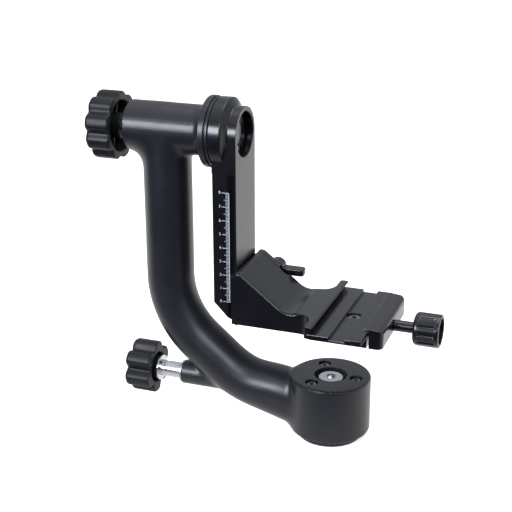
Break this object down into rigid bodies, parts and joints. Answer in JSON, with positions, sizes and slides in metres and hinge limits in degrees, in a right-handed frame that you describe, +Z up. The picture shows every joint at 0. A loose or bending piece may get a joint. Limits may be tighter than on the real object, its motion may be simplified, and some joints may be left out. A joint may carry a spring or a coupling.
{
  "type": "gimbal tripod head",
  "caption": "Gimbal tripod head with a J-shaped yoke, pan and tilt knobs, a swing arm with a ruler, and a height-adjustable dovetail clamp platform.",
  "frame": {"origin": "centre of the foot's flat face, on the pan axis", "axes": "+Z up along the pan axis; +X along the tilt axis, from the yoke towards the swing arm; +Y the way the lens points"},
  "size_m": [0.2528, 0.091, 0.242],
  "materials": {
    "black_coat": "satin powder coat",
    "black_anodised": "semi-gloss black anodised",
    "steel": "satin",
    "dark_steel": "ground",
    "brass": "machined",
    "black_plastic": "matte moulded",
    "bearing_plastic": "smooth"
  },
  "bodies": {
    "tripod_base": {"foot_spindle": "black_anodised", "tripod_bush": "steel", "pan_inner_races": "steel", "pan_washer": "steel", "pan_bolt": "steel"},
    "yoke": {"j_arm": "black_coat", "bearing_cartridge": "dark_steel", "pan_outer_races": "steel", "pan_ball_cages": "brass", "cap_screws": "steel", "tilt_bearing_cap": "black_anodised", "tilt_outer_races": "steel", "tilt_ball_cages": "brass", "friction_ring": "bearing_plastic", "tilt_lock_bush": "brass", "pan_lock_bush": "steel"},
    "pan_lock": {"pan_brake_shoe": "brass"},
    "pan_handle": {"pan_lock_screw": "steel", "pan_stem_washer": "steel", "pan_knob": "black_plastic"},
    "tilt_lock": {"tilt_brake_pad": "brass"},
    "tilt_handle": {"tilt_lock_screw": "steel", "tilt_stem_washer": "steel", "tilt_knob": "black_plastic"},
    "swing": {"swing_arm": "black_anodised", "tilt_axle": "dark_steel", "tilt_inner_races": "steel", "axle_nut": "black_anodised", "arm_set_screw": "steel", "arm_stop_screws": "steel"},
    "lens_platform": {"platform": "black_anodised", "clamp_guide_pins": "steel", "clamp_springs": "steel", "clamp_centre_screw": "steel", "height_jaw_pins": "steel"},
    "height_clamp": {"height_jaw": "black_anodised"},
    "height_handle": {"height_lever": "black_anodised", "lever_screw": "steel"},
    "clamp_slide_jaw": {"clamp_jaw": "black_anodised"},
    "clamp_handle": {"clamp_screw": "black_anodised", "clamp_knob": "black_anodised", "clamp_knob_cap": "black_plastic"}
  },
  "joints": [
    {"name": "pan", "type": "hinge", "parent": "tripod_base", "child": "yoke", "pos_m": [0, 0, 0], "axis": [0, 0, 1], "continuous": true},
    {"name": "pan_lock_travel", "type": "slide", "parent": "yoke", "child": "pan_lock", "axis": [1, 0, 0], "range_m": [-0.00125, 0]},
    {"name": "pan_knob_turn", "type": "hinge", "parent": "pan_lock", "child": "pan_handle", "pos_m": [-0.14, 0, 0.0298], "axis": [1, 0, 0], "range_deg": [-361, 0]},
    {"name": "tilt_lock_travel", "type": "slide", "parent": "yoke", "child": "tilt_lock", "axis": [1, 0, 0], "range_m": [-0.00125, 0]},
    {"name": "tilt_knob_turn", "type": "hinge", "parent": "tilt_lock", "child": "tilt_handle", "pos_m": [-0.16, 0, 0.2154], "axis": [1, 0, 0], "range_deg": [-361, 0]},
    {"name": "tilt", "type": "hinge", "parent": "yoke", "child": "swing", "pos_m": [-0.1, 0, 0.217], "axis": [1, 0, 0], "continuous": true},
    {"name": "height", "type": "slide", "parent": "swing", "child": "lens_platform", "axis": [0, 0, 1], "range_m": [0, 0.065]},
    {"name": "height_jaw_travel", "type": "slide", "parent": "lens_platform", "child": "height_clamp", "axis": [0, 1, 0], "range_m": [0, 0.00059]},
    {"name": "height_lever_turn", "type": "hinge", "parent": "height_clamp", "child": "height_handle", "pos_m": [-0.0522, 0.03, 0.1105], "axis": [0, 1, 0], "range_deg": [0, 170]},
    {"name": "clamp_travel", "type": "slide", "parent": "lens_platform", "child": "clamp_slide_jaw", "axis": [1, 0, 0], "range_m": [-0.0015, 0.0055]},
    {"name": "clamp_knob_turn", "type": "hinge", "parent": "clamp_slide_jaw", "child": "clamp_handle", "pos_m": [0.05, 0, 0.0912], "axis": [1, 0, 0], "range_deg": [-361, 1321]}
  ],
  "couplings": [
    {"joint": "pan_knob_turn", "follows": "pan_lock_travel", "rad_per_m": 5026.5},
    {"joint": "tilt_knob_turn", "follows": "tilt_lock_travel", "rad_per_m": 5026.5},
    {"joint": "height_lever_turn", "follows": "height_jaw_travel", "rad_per_m": 5026.5},
    {"joint": "clamp_knob_turn", "follows": "clamp_travel", "rad_per_m": 4188.8}
  ]
}
